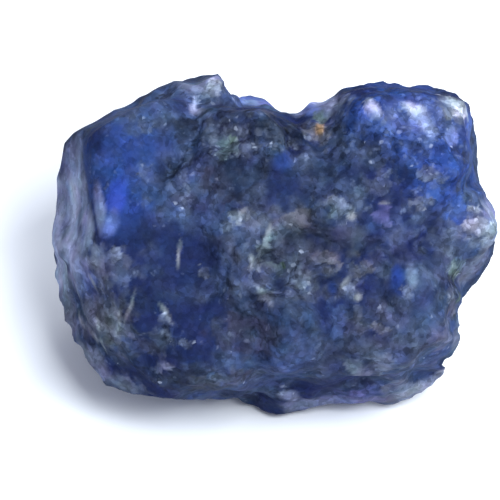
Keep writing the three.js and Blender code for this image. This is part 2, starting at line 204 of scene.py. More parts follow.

# Blobs on the steep rims, where the depth counts too, in mm: colour, middle, half-length,
# half-width, half-depth, turn in degrees and strength. Most of the lighter ones are painted light,
# on rims that face away from the lamps.
RIMS = [
    # down the left side: painted sheen and light, on a side that faces away from the key lamp
    ("painted_sheen", (-9.0, 0.4, 0.8), 3.2, 0.7, 1.9, 88, 0.85),
    ("painted_sheen", (-8.8, -1.6, 0.1), 1.8, 0.8, 1.7, 75, 0.75),
    ("mist", (-8.4, -2.8, 0.3), 1.6, 0.8, 2.0, -66, 1.0),
    ("mist", (-7.2, -4.8, 1.5), 1.4, 0.6, 2.0, -45, 0.9),
    # the top and the right side of the shoulder; the azure and periwinkle are partly painted light
    ("royal", (4.8, 6.4, 0.8), 2.8, 0.6, 2.0, 0, 0.9),
    ("azure", (8.0, 3.8, 2.8), 2.4, 0.6, 2.0, 96, 0.9),
    ("periwinkle", (7.9, 4.4, 2.6), 1.6, 0.5, 1.8, 96, 0.4),
    # the right lobe and below it: painted light on rims that face away from the key lamp
    ("lavender", (8.9, 0.8, 3.5), 2.0, 0.8, 1.8, 90, 0.7),
    ("mist", (8.1, -0.9, 2.4), 1.2, 0.5, 1.5, 55, 0.9),
    ("mist", (7.6, -3.6, 2.8), 1.5, 0.6, 1.8, 85, 0.7),
    # the shelf: painted light on its steep rim
    ("mist", (5.8, -6.1, 0.2), 2.0, 0.7, 1.8, 25, 1.0),
    ("pale", (5.8, -6.0, 0.3), 1.6, 0.5, 1.4, 25, 0.35),
    ("mist", (2.5, -6.5, 0.2), 2.8, 0.5, 1.5, 3, 1.0),
    # the knob behind the crown
    ("periwinkle", (-0.7, 5.8, -0.8), 1.2, 0.5, 1.6, -15, 0.8),
    ("violet", (-0.4, 5.8, -0.6), 0.5, 0.4, 1.2, -15, 0.6),
    ("lavender", (-0.9, 5.8, -0.6), 0.5, 0.25, 1.2, -15, 0.5),
    # the foot of the shoulder and the bead, both lightened with painted light
    ("lavender", (1.6, 5.7, 1.6), 1.2, 0.5, 1.5, 32, 0.8),
    ("pale", (6.9, -5.2, 1.0), 0.42, 0.42, 0.7, 0, 0.55),
]

# Patches of the broad face in mm, each laid over those before it: colour, centre x and y,
# half-length, half-width, turn in degrees and strength.
PATCHES = [
    # the glassy left side: its lavender and sheen paint in light it reflects and lets through
    ("lavender", -8.2, 1.9, 3.2, 0.85, 86, 1.0),
    ("lavender", -8.2, -0.9, 1.8, 1.1, 82, 1.0),
    ("painted_sheen", -8.1, 1.2, 2.6, 0.3, 84, 0.9),
    ("lavender", -7.5, 0.7, 1.3, 0.4, 92, 1.0),
    ("mist", -6.6, -0.8, 1.5, 1.0, -10, 0.8),
    ("steel", -6.2, -1.0, 1.0, 0.4, -50, 0.6),
    ("periwinkle", -7.4, -1.6, 1.2, 0.7, -64, 0.3),
    # the blue face beside it
    ("royal", -6.0, 3.8, 2.5, 1.5, 20, 1.0),
    ("royal", -6.0, 1.8, 1.8, 2.0, 0, 1.0),
    ("azure", -6.0, 2.6, 1.6, 1.8, 0, 0.4),
    ("royal", -7.35, 2.9, 1.9, 0.3, 97, 0.9),
    ("navy", -7.1, 4.2, 1.0, 0.4, 75, 0.8),
    ("azure", -5.5, 4.2, 0.8, 0.35, 10, 0.7),
    ("lavender", -7.0, 1.4, 1.3, 0.26, 96, 0.7),
    # painted glow, where light comes through the crystal
    ("painted_glow", -6.3, 1.9, 1.0, 0.5, 80, 1.0),
    ("periwinkle", -6.6, 0.7, 0.7, 0.4, 70, 0.9),
    ("navy", -5.0, 0.5, 0.8, 0.7, 0, 0.7),
    # painted shade: the thin dark line that the clear rim shows along the top
    ("dusk", -6.7, 5.3, 1.0, 0.15, 32, 0.6),
    ("ash", -5.1, 2.5, 0.5, 0.9, 0, 0.5),
    # the grey slope up to the tab
    ("steel", -4.9, 5.1, 1.5, 0.8, 37, 1.0),
    ("ash", -4.8, 4.8, 0.7, 0.4, 37, 0.7),
    ("navy", -3.9, 5.6, 0.6, 0.5, 0, 0.6),
    ("dusk", -3.7, 4.6, 0.7, 0.9, 0, 1.0),
    # painted light on the tab's top, which faces away from the lamps, with painted glints
    ("lavender", -2.9, 6.6, 1.4, 0.5, 8, 0.75),
    ("mist", -2.6, 6.3, 0.8, 0.5, 0, 0.8),
    ("pale", -2.35, 6.35, 0.4, 0.25, 0, 0.9),
    ("painted_sheen", -3.2, 5.75, 0.14, 0.45, 5, 1.0),
    ("lavender", -3.0, 5.4, 0.3, 0.22, 0, 0.8),
    # painted shade under the tab
    ("dusk", -2.2, 5.6, 0.6, 0.4, 0, 0.9),
    # the knob behind the crown
    ("periwinkle", -0.8, 5.75, 0.9, 0.45, -20, 1.0),
    ("lavender", -0.9, 5.75, 0.6, 0.25, -15, 0.8),
    ("brown", -0.2, 5.5, 0.7, 0.35, -20, 0.9),
    # the dark, rough crown
    ("dusk", -0.6, 4.5, 2.4, 1.0, 0, 0.9),
    ("dusk", -1.8, 3.8, 1.7, 1.8, 0, 1.0),
    ("grit", -0.1, 4.4, 2.0, 0.9, -10, 0.5),
    ("grit", -2.4, 3.4, 0.8, 1.2, 0, 0.15),
    ("green", -1.75, 3.85, 0.5, 0.4, 30, 1.0),
    ("moss", -1.5, 4.1, 0.3, 0.2, 30, 0.9),
    ("mauve", -2.4, 2.1, 0.8, 1.3, 0, 1.0),
    ("ash", -3.8, 2.3, 0.6, 1.1, 0, 0.6),
    ("brown", 1.8, 4.5, 0.7, 0.6, -30, 1.0),
    ("orange", 1.85, 4.55, 0.3, 0.2, 40, 0.8),
    ("dusk", -1.0, 2.4, 1.8, 0.9, 0, 0.6),
    ("navy", 0.4, 2.3, 0.9, 0.8, 0, 0.7),
    ("royal", 0.4, 3.2, 0.6, 0.55, 0, 0.9),
    ("slate", 1.9, 2.8, 1.1, 1.0, 0, 0.7),
    # the worn ridges round the bowl
    ("haze", 0.9, -0.4, 3.2, 2.3, -10, 0.6),
    ("steel", 5.0, 0.4, 2.0, 1.0, 0, 0.8),
    ("dull", 2.9, 0.3, 1.6, 0.6, -8, 0.9),
    ("chalk", -1.5, 1.05, 0.8, 0.4, 40, 0.55),
    ("chalk", 0.0, 0.4, 0.5, 0.4, 60, 0.6),
    ("chalk", -0.6, -0.6, 0.9, 0.35, 65, 0.9),
    ("chalk", -0.3, -2.1, 0.7, 0.3, -50, 0.7),
    ("brown", 1.0, 1.1, 0.8, 0.5, 10, 0.9),
    ("chalk", 2.5, 1.4, 1.0, 0.6, -10, 0.5),
    ("brown", 2.3, -0.7, 1.0, 0.4, -15, 1.0),
    ("chalk", 3.2, -1.0, 0.5, 0.4, 0, 0.5),
    ("brown", 3.3, -1.0, 0.5, 0.5, 0, 0.8),
    ("chalk", 1.3, -1.5, 0.5, 0.5, 0, 0.6),
    ("dusk", 0.7, 0.0, 0.5, 0.5, 0, 0.7),
    ("dusk", -0.1, -0.45, 0.4, 0.3, 0, 0.8),
    ("dusk", -0.65, -2.4, 0.4, 0.15, -45, 0.9),
    ("moss", 0.05, -0.9, 0.35, 0.22, 0, 1.0),
    ("chalk", 1.8, -0.75, 0.4, 0.25, 10, 0.8),
    ("green", 1.8, -0.75, 0.3, 0.15, 10, 0.6),
    ("navy", 0.25, -1.6, 0.25, 0.3, 0, 0.8),
    ("navy", 1.9, -1.4, 0.3, 0.35, 0, 0.6),
    ("royal", 2.4, -1.7, 0.25, 0.35, 0, 0.8),
    ("milk", -1.3, 1.25, 0.4, 0.15, 40, 0.5),
    ("milk", -1.5, 0.75, 0.2, 0.15, 0, 0.5),
    ("milk", -0.2, 0.25, 0.6, 0.2, 75, 0.8),
    ("milk", -0.85, -0.75, 0.45, 0.18, 100, 0.9),
    ("milk", -0.45, -2.0, 0.5, 0.18, -55, 0.7),
    ("milk", 3.05, 1.0, 0.28, 0.2, -30, 1.0),
    ("milk", 3.45, -2.15, 0.2, 0.25, 0, 1.0),
    ("milk", 2.9, -1.5, 0.35, 0.16, 50, 0.8),
    ("milk", 4.4, 1.7, 0.2, 0.1, 0, 0.6),
    # the navy window and the lower left
    ("navy", -3.5, -0.8, 1.9, 1.9, 0, 1.0),
    ("navy", -3.6, -0.7, 1.4, 1.4, 0, 1.0),
    ("navy", -4.2, 0.2, 1.0, 0.9, 0, 0.8),
    ("fibre", -3.8, -0.4, 0.1, 0.85, -2, 1.0),
    ("mist", -2.9, -1.0, 0.2, 0.4, 20, 0.8),
    ("mist", -6.7, -3.1, 1.7, 1.4, -60, 0.5),
    ("haze", -6.7, -3.1, 1.7, 1.4, -60, 0.8),
    ("brown", -6.6, -3.5, 0.6, 0.9, 0, 0.7),
    ("mist", -7.6, -3.2, 1.0, 0.4, -65, 0.6),
    ("dusk", -5.4, -2.4, 0.9, 0.8, 0, 0.7),
    ("fibre", -5.8, -2.6, 1.1, 0.09, 74, 0.7),
    ("fibre", -6.15, -3.2, 0.8, 0.1, 80, 0.7),
    ("fibre", -7.3, -3.6, 0.6, 0.12, -62, 0.8),
    ("fibre", -7.7, -3.0, 0.5, 0.1, -70, 0.8),
    ("fibre", -7.0, -3.1, 0.5, 0.1, -80, 0.6),
    ("fibre", -6.8, -4.1, 0.5, 0.1, -70, 0.6),
    ("fibre", -7.2, -1.6, 0.6, 0.1, -64, 0.6),
    ("fibre", -6.0, -5.7, 0.5, 0.1, -27, 0.6),
    ("fibre", -4.3, -2.8, 0.6, 0.12, -55, 0.8),
    ("navy", -3.3, -3.3, 0.6, 0.4, 0, 0.9),
    ("haze", -4.7, -3.9, 0.9, 0.7, 0, 0.5),
    ("dusk", -3.8, -5.4, 2.2, 0.6, -5, 0.8),
    ("mist", -6.0, -5.7, 1.5, 0.4, -25, 0.7),
    ("mist", -4.4, -4.8, 0.5, 0.35, 0, 0.9),
    ("dusk", -0.4, -3.4, 2.4, 1.8, 0, 0.8),
    ("mauve", -1.3, -3.6, 1.7, 1.1, 0, 0.8),
    # painted sheen along the bottom roll
    ("haze", -2.2, -5.5, 1.7, 0.4, 12, 0.7),
    # the right side
    ("mist", 6.5, -0.2, 2.6, 2.6, 0, 0.25),
    ("mist", 4.5, -4.6, 4.0, 1.8, 0, 0.1),
    ("haze", 4.6, -3.6, 2.4, 1.8, 0, 0.25),
    # the right shoulder
    ("azure", 4.6, 5.2, 3.2, 1.6, 0, 0.9),
    ("azure", 6.6, 3.2, 1.6, 2.4, 0, 0.9),
    ("periwinkle", 5.6, 5.0, 2.4, 1.2, 0, 0.4),
    ("mist", 2.3, 5.5, 1.3, 0.7, 35, 0.9),
    ("lavender", 1.9, 5.7, 0.8, 0.35, 30, 0.8),
    ("periwinkle", 1.5, 5.4, 0.5, 0.35, 20, 0.9),
    ("moss", 1.8, 5.0, 0.4, 0.25, 0, 0.8),
    ("royal", 3.2, 4.9, 0.4, 0.5, 0, 0.7),
    ("glint", 5.6, 4.5, 2.4, 1.6, 0, 0.25),
    ("mist", 4.3, 5.05, 0.4, 0.3, -40, 0.9),
    # painted highlights of the lamps, in sheen and pale
    ("painted_sheen", 3.95, 5.4, 0.6, 0.25, -55, 1.0),
    ("pale", 3.85, 5.5, 0.3, 0.15, -50, 0.5),
    ("painted_sheen", 6.0, 4.9, 1.0, 0.4, -55, 0.55),
    ("painted_sheen", 5.6, 5.4, 0.6, 0.25, -20, 0.9),
    ("pale", 5.6, 5.4, 0.4, 0.15, -20, 0.5),
    # the pale corner: painted light
    ("mist", 7.3, 5.5, 1.1, 0.7, -40, 1.0),
    ("pale", 7.4, 5.6, 1.0, 0.45, -40, 0.9),
    ("lavender", 7.1, 4.3, 0.35, 0.4, 0, 0.6),
    ("periwinkle", 7.1, 4.3, 0.35, 0.4, 0, 0.8),
    ("azure", 5.2, 3.8, 0.8, 0.7, 0, 0.9),
    ("slate", 3.7, 3.4, 0.8, 0.7, 0, 0.8),
    ("ash", 4.0, 2.1, 1.1, 0.9, 0, 0.6),
    ("mist", 6.2, 2.7, 0.9, 0.35, -20, 0.6),
    ("violet", 4.4, 1.2, 0.4, 0.8, -10, 0.8),
    ("brown", 5.8, 1.6, 0.45, 0.6, 0, 0.6),
    # the right lobe
    ("azure", 7.3, 1.5, 0.6, 0.8, -20, 0.9),
    ("mist", 8.3, 0.3, 1.0, 1.1, 20, 1.0),
    ("pale", 8.3, 0.6, 0.8, 0.8, 20, 0.65),
    # below it
    ("royal", 5.0, -1.4, 0.45, 0.8, 0, 0.9),
    # painted glow, where light comes through the crystal
    ("painted_glow", 4.9, -1.2, 0.25, 0.6, 0, 0.5),
    ("lavender", 5.4, -1.2, 0.3, 0.6, 0, 0.5),
    ("royal", 6.0, -2.0, 0.7, 0.9, 0, 0.3),
    ("green", 7.4, -1.0, 0.5, 0.4, 0, 0.9),
    ("moss", 7.3, -1.2, 0.25, 0.4, 20, 1.0),
    ("moss", 7.5, -2.2, 0.15, 0.5, 0, 0.7),
    ("brown", 7.2, -2.3, 0.5, 1.0, 0, 0.8),
    ("steel", 2.5, -3.1, 0.5, 1.1, 0, 1.0),
    ("mist", 3.4, -2.9, 0.3, 0.7, 0, 0.6),
    ("dusk", 3.9, -2.6, 0.2, 0.5, 0, 0.8),
    ("brown", 4.2, -3.4, 0.5, 0.35, 0, 0.8),
    ("mist", 4.3, -4.9, 0.8, 0.55, 0, 0.7),
    # painted sheen on the grey arc above the shelf
    ("mist", 3.4, -5.1, 1.1, 0.3, -28, 1.0),
    ("mist", 7.0, -3.9, 0.8, 1.0, 0, 0.8),
    # the shelf
    ("mauve", 0.5, -6.0, 7.5, 1.0, 0, 0.15),
    ("navy", 1.9, -5.9, 2.4, 0.3, 0, 0.5),
    ("periwinkle", 2.2, -6.5, 2.4, 0.4, 0, 0.2),
    ("mist", 5.3, -5.9, 1.3, 0.5, 8, 0.9),
    ("violet", 3.4, -6.3, 1.6, 0.4, 3, 0.5),
    # crushed patches whose chips get painted glints, and a few tones under them
    ("glint", -3.1, 5.9, 0.3, 0.4, 0, 0.6),
    ("glint", -2.3, 6.3, 0.4, 0.3, 0, 0.6),
    ("glint", -0.7, 5.7, 0.7, 0.3, -20, 0.8),
    ("glint", -1.8, 4.2, 1.4, 0.9, 0, 0.35),
    ("glint", 0.2, 3.9, 1.2, 0.3, 0, 0.3),
    ("glint", 7.5, 5.7, 0.7, 0.25, -40, 0.6),
    ("glint", 4.5, 2.8, 0.4, 0.2, 0, 0.5),
    ("glint", 6.2, 2.7, 0.8, 0.3, -20, 0.5),
    ("glint", 3.0, 1.5, 0.5, 0.4, 0, 0.2),
    ("glint", 3.1, -1.9, 0.5, 0.5, 0, 0.5),
    ("glint", 5.2, -1.8, 0.3, 0.3, 0, 0.5),
    ("glint", 8.2, 0.3, 0.7, 0.9, 0, 0.5),
    ("glint", 6.4, 0.1, 1.3, 0.9, 0, 0.3),
    ("glint", 7.3, -1.4, 0.4, 0.9, 0, 0.4),
    ("glint", -2.9, -1.0, 0.2, 0.4, 0, 0.6),
    ("glint", -6.3, -0.5, 0.3, 0.4, 0, 0.5),
    ("glint", -4.3, -3.2, 0.4, 0.6, 30, 0.5),
    ("glint", -3.6, -3.9, 0.9, 0.2, 0, 0.5),
    ("glint", -1.8, -3.8, 0.3, 0.3, 0, 0.6),
    ("dusk", -4.4, -5.5, 0.5, 0.3, 0, 0.7),
    ("glint", -4.5, -5.6, 0.25, 0.08, 0, 0.5),
    ("lavender", 0.6, -6.1, 0.6, 0.25, 0, 0.7),
    ("glint", 0.6, -6.1, 0.6, 0.25, 0, 0.5),
    ("glint", 6.3, -5.6, 0.6, 0.3, 30, 0.6),
]


def main():
    """Makes the stone, its studio and the camera."""
    stone = fine_stone(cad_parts["sapphire"])
    stone.data.materials.append(corundum())
    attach(stone, "root")
    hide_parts("sapphire")
    studio()
    camera()


# ---------------------------------------------------------------- small mathematics


def come(values, start, end):
    """How far values have come from start to end, eased, from 0 to 1."""
    share = np.clip((values - start) / (end - start), 0, 1)
    return share * share * (3 - 2 * share)


def inside(face, region):
    """How far points are inside a region of the stone, from 0 to 1."""
    return math.prod(come(face[:, axis], start, full) for axis, start, full in region)


def to_face(points):
    """Row-frame points in mm, in the frame of the broad face."""
    x, y, z = (points - HEART).T
    up = y * math.cos(LEAN) + z * math.sin(LEAN)
    out = z * math.cos(LEAN) - y * math.sin(LEAN)
    return np.stack([x, up, out], 1)


def from_face(face):
    """Points in the frame of the broad face, in the row frame."""
    x, up, out = face.T
    y = up * math.cos(LEAN) - out * math.sin(LEAN)
    z = up * math.sin(LEAN) + out * math.cos(LEAN)
    return np.stack([x, y, z], 1) + HEART


def random_of(cells, seed):
    """A repeatable random number from 0 to 1 for each cell of a grid."""
    mixed = (cells.astype(np.int64).astype(np.uint32) * CELL_KEYS).sum(1, dtype=np.uint32)
    mixed += np.uint32(seed * SEED_KEY % 2**32)
    for key, shift in zip(MIX_KEYS, MIX_SHIFTS):
        mixed *= key
        mixed ^= mixed >> np.uint32(shift)
    return mixed / 2.0**32


def soft_noise(points, size, seed):
    """Smooth noise from -1 to 1 that changes over about size mm."""
    scaled = points / size
    cell = np.floor(scaled)
    along = come(scaled - cell, 0, 1)
    total = 0
    for corner in CORNERS:
        weight = np.prod(np.where(corner, along, 1 - along), axis=1)
        total = total + weight * random_of(cell + corner, seed)
    return 2 * total - 1


def layered(points, size, seed, layers=3):
    """Noise with finer and finer layers, each half as strong, from about -1 to 1."""
    noises = (0.5**i * soft_noise(points, size / 2**i, seed + i) for i in range(layers))
    return sum(noises) / LAYERED_REACH


def nearest_cells(points, size, seed):
    """Random cells about size mm across: the distance to the nearest and to the second nearest
    middle, the way from the nearest middle and that cell, all in cell sizes."""
    scaled = points / size
    home = np.floor(scaled)
    nearest = np.full(len(points), np.inf)
    second = nearest.copy()
    way = np.zeros_like(points)
    cell = home.copy()
    for step in NEIGHBOURS:
        other = home + step
        middle = other + np.stack([random_of(other, seed + i) for i in range(3)], 1)
        away = scaled - middle
        distance = np.linalg.norm(away, axis=1)
        closer = distance < nearest
        second = np.where(closer, nearest, np.minimum(second, distance))
        nearest = np.where(closer, distance, nearest)
        way[closer] = away[closer]
        cell[closer] = other[closer]
    return nearest, second, way, cell


def streaks(face, turn, length, width, seed):
    """Noise drawn out along the broad face, turned by turn degrees from x, from -1 to 1."""
    angle = math.radians(turn)
    x, y, z = face.T
    along = x * math.cos(angle) + y * math.sin(angle)
    across = y * math.cos(angle) - x * math.sin(angle)
    drawn = np.stack([along / length, across / width, z / width], 1)
    return layered(drawn, 1, seed)


def oval(face, x, y, long, wide, turn):
    """1 in the middle of an oval patch of the broad face, 0 at its edge and negative outside."""
    angle = math.radians(turn)
    dx, dy = face[:, X] - x, face[:, Y] - y
    along = (dx * math.cos(angle) + dy * math.sin(angle)) / long
    across = (dy * math.cos(angle) - dx * math.sin(angle)) / wide
    return 1 - along**2 - across**2


# ---------------------------------------------------------------- the fine skin


def facets(points, size, seed):
    """The height of flat chips about size mm across, each with its own tilt, in chip sizes. Narrow
    ramps join them."""
    nearest, second, way, cell = nearest_cells(points, size, seed)
    tilt = np.stack([random_of(cell, seed + i) for i in (3, 4, 5)], 1) - 0.5
    step = CHIP_STEP * (random_of(cell, seed + 6) - 0.5)
    return come(second - nearest, 0, CHIP_RAMP) * ((tilt * way).sum(1) + step)


def pits(points, size, seed):
    """Round pits in a share of the random cells, from 0 to 1 deep."""
    nearest, _, _, cell = nearest_cells(points, size, seed)
    return come(nearest, *PIT_RADII) * (random_of(cell, seed + 7) < PITTED)


def lumps(points, size, seed):
    """Low lumps about size mm across, from about -1 to 1 high."""
    return layered(points, size, seed, 2)


# The forms of the skin: what draws them, how far they stand out and their size in mm, and a seed.
SKIN = (
    (facets, 0.14, 1.1, 100),
    (facets, 0.085, 0.55, 110),
    (pits, -0.055, 0.8, 120),
    (lumps, 0.08, 0.8, 130),
    (lumps, 0.03, 0.3, 140),
)


def window(face):
    """How far points are inside the smooth window, from 0 to 1."""
    away = np.hypot(*(face[:, :2] - WINDOW_MIDDLE).T)
    return come(away, *WINDOW_RADII) * inside(face, WINDOW_FRONT)


def relief(face):
    """How far the fine skin stands out, in mm, at points in the frame of the broad face."""
    height = sum(tall * draw(face, size, seed) for draw, tall, size, seed in SKIN)
    glassy = np.maximum(inside(face, GLASSY_SIDE), inside(face, GLASSY_RIM))
    fluted = inside(face, FLUTED_SIDE)
    loss = np.maximum(GLASSY_LOSS * glassy, WINDOW_LOSS * window(face)) + FLUTED_LOSS * fluted
    return height * (1 - loss) + FLUTE_HEIGHT * fluted * streaks(face, *FLUTES, seed=160)


# ---------------------------------------------------------------- the fine mesh


def fine_mesh(node):
    """A copy of the solid's mesh in mm, remeshed finely and evenly and smoothed."""
    mesh = node.data.copy()
    mesh.name = "stone"
    mesh.materials.clear()
    mesh.transform(Matrix.Scale(1 / MM, 4))
    stone = bpy.data.objects.new("stone", mesh)
    bpy.context.scene.collection.objects.link(stone)
    remesh = stone.modifiers.new("remesh", "REMESH")
    remesh.mode = "VOXEL"
    remesh.voxel_size = VOXEL
    smooth = stone.modifiers.new("smooth", "SMOOTH")
    smooth.iterations = SMOOTHING
    bpy.context.view_layer.update()
    evaluated = stone.evaluated_get(bpy.context.evaluated_depsgraph_get())
    stone.data = bpy.data.meshes.new_from_object(evaluated)
    stone.modifiers.clear()
    return stone


def coordinates(mesh):
    """Where the points of a mesh are."""
    points = np.empty(len(mesh.vertices) * 3)
    mesh.vertices.foreach_get("co", points)
    return points.reshape(-1, 3)


def normals(mesh):
    """Which way the skin faces at each point of a mesh."""
    directions = np.empty(len(mesh.vertices) * 3, np.float32)
    mesh.vertex_normals.foreach_get("vector", directions)
    return directions.reshape(-1, 3).astype(float)


def move(mesh, points):
    """Moves the points of a mesh to new places."""
    mesh.vertices.foreach_set("co", points.ravel())
    mesh.update()


def formed(face):
    """Points of the broad face's frame, with the small forms pushed out."""
    front = inside(face, FRONT)
    moved = face.copy()
    for *patch, push in FORMS:
        moved += (front * come(oval(face, *patch), 0, 1))[:, None] * push
    return moved


def fine_stone(node):
    """The solid's mesh made fine, with the small forms, the fine skin and the colours on it."""
    stone = fine_mesh(node)
    mesh = stone.data
    face = formed(to_face(coordinates(mesh)))
    points = from_face(face)
    move(mesh, points)
    outward = normals(mesh)
    facing = outward @ OUT
    calm = inside(face, CALM_SIDES) * come(facing, *STEEP)
    lift = relief(face) * (1 - CALM_LOSS * calm) * come(points[:, Z], *FOOT)
    points += outward * lift[:, None]
    points[:, Z] = np.maximum(points[:, Z], 0)  # nothing goes through the floor
    move(mesh, points * MM)
    paint(mesh, face, calm)
    mesh.shade_smooth()
    return stone


# ---------------------------------------------------------------- colour over the skin


def linear(colour):
    """An sRGB colour, from 0 to 255, as linear light."""
    value = np.array(colour) / 255
    return np.where(value <= 0.04045, value / 12.92, ((value + 0.055) / 1.055) ** 2.4)


def tone(name):
    """A tone's linear red, green and blue, how clear it is and how crushed."""
    colour, clear, crushed = PALETTE[name]
    return np.hstack([linear(colour) / EXPOSURE, clear, crushed])


def laid(skin, name, share):
    """The skin with a tone laid over a share of it."""
    return skin + (tone(name) - skin) * np.clip(share, 0, 1)[:, None]


def ground(face):
    """The skin under the patches: slate, with broad navy and steel and a little ash."""
    broad = layered(face, 3.0, 200)
    fine = layered(face, 0.9, 210)
    skin = np.tile(tone("slate"), (len(face), 1))
    skin = laid(skin, "navy", come(broad, -0.1, 0.3))
    skin = laid(skin, "steel", come(-broad + 0.4 * fine, 0, 0.4))
    return laid(skin, "ash", 0.35 * come(fine - 0.3 * broad, 0.1, 0.5))


def bent(face):
    """Points pushed about a little, so that no edge is a plain oval."""
    push, size = BEND
    return face + push * np.stack([soft_noise(face, size, seed) for seed in (250, 251, 252)], 1)


def chipped(face):
    """Points drawn towards the middles of random chips, and a random number for each chip."""
    _, _, way, cell = nearest_cells(face, CHIP, 230)
    return face - 0.9 * CHIP * way, random_of(cell, 240)


def behind(z, share, long):
    """How far points are behind the foremost skin of a patch, from 0 to 1 where it ends."""
    foremost = z[share > 0].max() - SLACK
    return np.maximum(foremost - z, 0) / (DEPTH + DEPTH_GAIN * long)


def patched(skin, face):
    """The skin with the rims and the patches laid over it."""
    z = face[:, Z]
    fray = 0.5 * layered(face, 0.9, 210) + 0.5 * layered(face, 0.35, 220, 2)
    soft = bent(face)
    sharp, chance = chipped(face)
    torn = 0.9 * fray + 0.4 * (chance - 0.5)
    for name, (x, y, middle), long, wide, deep, turn, strength in RIMS:
        share = oval(soft, x, y, long, wide, turn) - ((z - middle) / deep) ** 2
        skin = laid(skin, name, strength * come(share + 0.4 * fray, 0, 0.9))
    for name, x, y, long, wide, turn, strength in PATCHES:
        ragged = min(1, 2 * wide)  # narrow patches have smoother edges
        *_, crushed = PALETTE[name]
        if crushed < GLASSY:
            share = oval(soft, x, y, long, wide, turn) + 0.5 * ragged * fray
        else:
            share = oval(sharp, x, y, long, wide, turn) + ragged * torn
        share -= behind(z, share, long) ** 2
        skin = laid(skin, name, strength * come(share, 0, 1.1))
    return skin


def streaked(skin, face):
    """The skin with faint blue streaks up the glassy left side."""
    streak = come(streaks(face, *STREAKS, seed=260), 0.1, 0.6)
    return laid(skin, "azure", 0.25 * inside(face, STREAKED_SIDE) * streak)


def store(mesh, name, values, kind):
    """Stores a value or colour for each point of the mesh."""
    attribute = mesh.attributes.new(name, kind, "POINT")
    key = "color" if kind == "FLOAT_COLOR" else "value"
    attribute.data.foreach_set(key, np.asarray(values, np.float32).ravel())


def paint(mesh, face, calm):
    """Stores the colour of each point of the skin, how clear it is and how crushed."""
    skin = streaked(patched(ground(face), face), face)
    tint = np.hstack([skin[:, :3], np.ones((len(face), 1))])
    store(mesh, "tint", tint, "FLOAT_COLOR")
    store(mesh, "clear", skin[:, 3] * (1 - calm), "FLOAT")
    store(mesh, "crushed", skin[:, 4] * (1 - 0.7 * calm), "FLOAT")


# ---------------------------------------------------------------- shader nodes


def add(tree, kind, inputs, **settings):
    """A new shader node; its inputs get numbers, or links from other nodes' outputs."""
    made = tree.nodes.new("ShaderNode" + kind)
    for name, value in settings.items():
        setattr(made, name, value)
    for name, value in inputs.items():
        if isinstance(value, bpy.types.NodeSocket):
            tree.links.new(value, made.inputs[name])
        else:
            made.inputs[name].default_value = value
    return made


def stored(tree, name, output="Fac"):
    """What paint() stored under a name."""
    return add(tree, "Attribute", {}, attribute_name=name).outputs[output]


def spread(tree, value, start, end, low, high):
    """Maps a value from start-end to low-high, and keeps it in between."""
    ends = {"From Min": start, "From Max": end, "To Min": low, "To Max": high}
    return add(tree, "MapRange", {"Value": value, **ends}).outputs["Result"]


def maths(tree, operation, *values):
    """What a Math node makes of numbers or outputs."""
    return add(tree, "Math", dict(enumerate(values)), operation=operation).outputs["Value"]


def vectors(tree, operation, *values, output="Vector"):
    """The same for vectors and colours."""
    made = add(tree, "VectorMath", dict(enumerate(values)), operation=operation)
    return made.outputs[output]


def scaled(tree, vector, scale):
    """A vector or colour times a number."""
    inputs = {0: vector, "Scale": scale}
    return add(tree, "VectorMath", inputs, operation="SCALE").outputs["Vector"]


def noise(tree, place, scale, detail, roughness=0.5, output="Fac"):
    """Noise with scale changes in a mm, about 0.5 on average."""
    inputs = {"Vector": place, "Scale": scale, "Detail": detail, "Roughness": roughness}
    return add(tree, "TexNoise", inputs).outputs[output]


# ---------------------------------------------------------------- material


def wobbly_place(tree):
    """The place in mm, pushed about a little so that no crystal has straight sides."""
    place = scaled(tree, add(tree, "TexCoord", {}).outputs["Object"], 1 / MM)
    push = noise(tree, place, 3.2, 2, output="Color")
    return vectors(tree, "ADD", place, scaled(tree, push, WOBBLE))


def crystals(tree, place, size):
    """Angular crystals about size mm across: two random numbers for each, how near its middle a
    point is, and the height of its tilted top in mm."""
    voronoi = add(tree, "TexVoronoi", {"Vector": place, "Scale": 1 / size}).outputs
    chances = add(tree, "SeparateColor", {"Color": voronoi["Color"]}).outputs
    middle = spread(tree, voronoi["Distance"], 0.3, 0.65, 1, 0)
    way = vectors(tree, "SUBTRACT", place, voronoi["Position"])
    lean = vectors(tree, "SUBTRACT", voronoi["Color"], (0.5, 0.5, 0.5))
    height = vectors(tree, "DOT_PRODUCT", way, lean, output="Value")
    return chances[0], chances[1], middle, height


